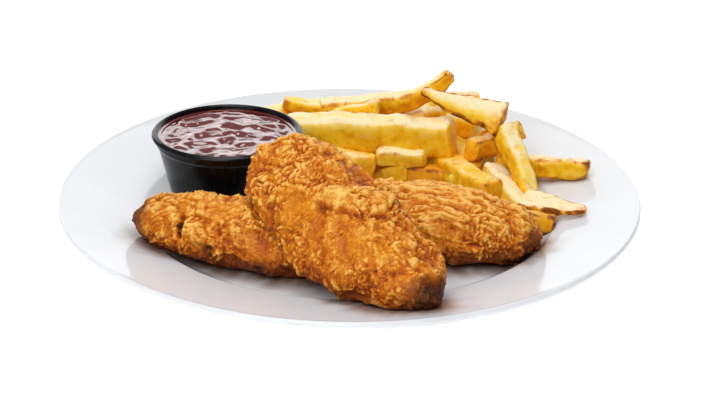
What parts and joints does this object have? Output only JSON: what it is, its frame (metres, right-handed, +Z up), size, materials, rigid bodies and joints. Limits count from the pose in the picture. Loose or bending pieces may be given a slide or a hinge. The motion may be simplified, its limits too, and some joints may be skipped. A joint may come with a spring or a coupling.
{
  "type": "chicken tenders",
  "caption": "Fried chicken tenders stacked on a round white plate with chunky fries and a small black pot of dark barbecue sauce.",
  "frame": {"origin": "middle of the plate's foot, on the table", "axes": "+Z up from the table, -Y towards the diner, +X to the diner's right, with the sauce pot at the back left and the fries at the back right"},
  "size_m": [0.232, 0.232, 0.0546],
  "materials": {
    "porcelain": "white, glossy glaze",
    "black_plastic": "black, smooth",
    "barbecue_sauce": "dark red brown, wet",
    "fried_crust": "golden brown, craggy and dry with a trace of oil",
    "fried_potato": "pale gold with brown edges"
  },
  "bodies": {
    "root": {"plate": "porcelain", "sauce_pot": "black_plastic", "sauce": "barbecue_sauce", "tender_left": "fried_crust", "tender_right": "fried_crust", "tender_centre": "fried_crust", "fries": "fried_potato"}
  },
  "joints": []
}
